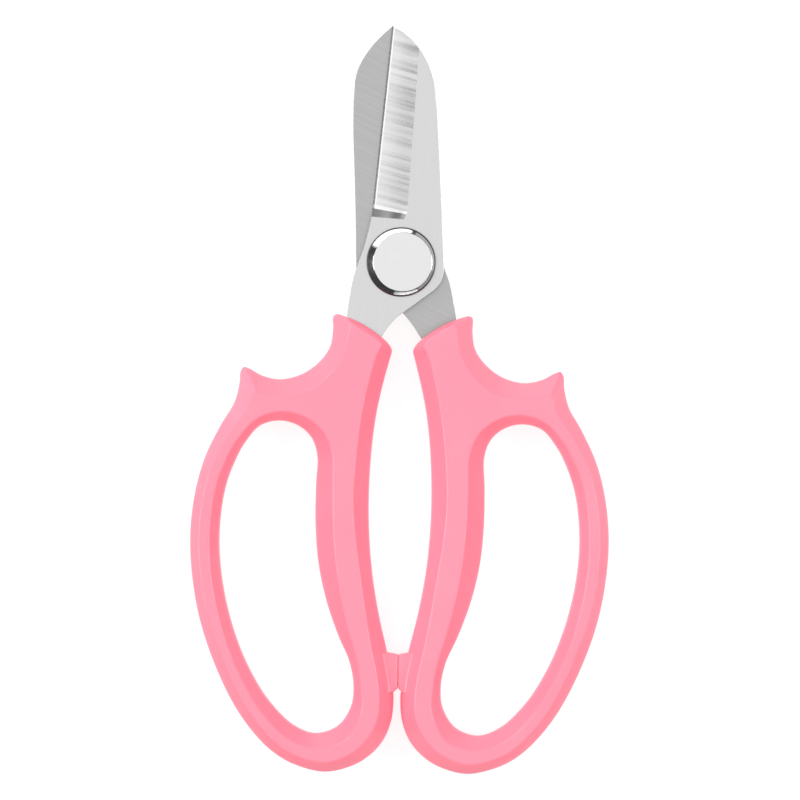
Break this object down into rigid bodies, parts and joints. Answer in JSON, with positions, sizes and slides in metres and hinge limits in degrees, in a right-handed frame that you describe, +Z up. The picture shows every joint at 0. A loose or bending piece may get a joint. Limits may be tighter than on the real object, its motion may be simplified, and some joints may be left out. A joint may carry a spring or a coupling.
{
  "type": "floral snips",
  "caption": "Floral snips: two ground steel blades on a central pivot bolt, each with a moulded plastic loop handle with a finger rest, a horn and a stop lug.",
  "frame": {"origin": "bottom centre of the closed snips' bounding box, on the plane of the handles' backs; the pivot axis is at x = -0.0007, y = 0.03485", "axes": "+X to the right across the handles, +Y towards the blade tips, +Z up along the pivot axis, out of the blank head"},
  "size_m": [0.1064, 0.1898, 0.012],
  "materials": {
    "handle": "satin moulded pink plastic",
    "front_blade": "brushed along its length, with a cross-ground hollow",
    "rear_blade": "brushed aslant",
    "pivot_bolt": "polished rim with a satin blank face",
    "washer": "plain",
    "pivot_nut": "plated"
  },
  "bodies": {
    "front_half": {"left_handle": "handle", "front_blade": "front_blade", "pivot_bolt": "pivot_bolt", "wear_washer": "washer", "rear_washer": "washer", "pivot_nut": "pivot_nut"},
    "rear_half": {"right_handle": "handle", "rear_blade": "rear_blade"}
  },
  "joints": [
    {"name": "pivot", "type": "hinge", "parent": "front_half", "child": "rear_half", "pos_m": [-0.0007, 0.03485, 0.006], "axis": [0, 0, 1], "range_deg": [0, 60]}
  ]
}
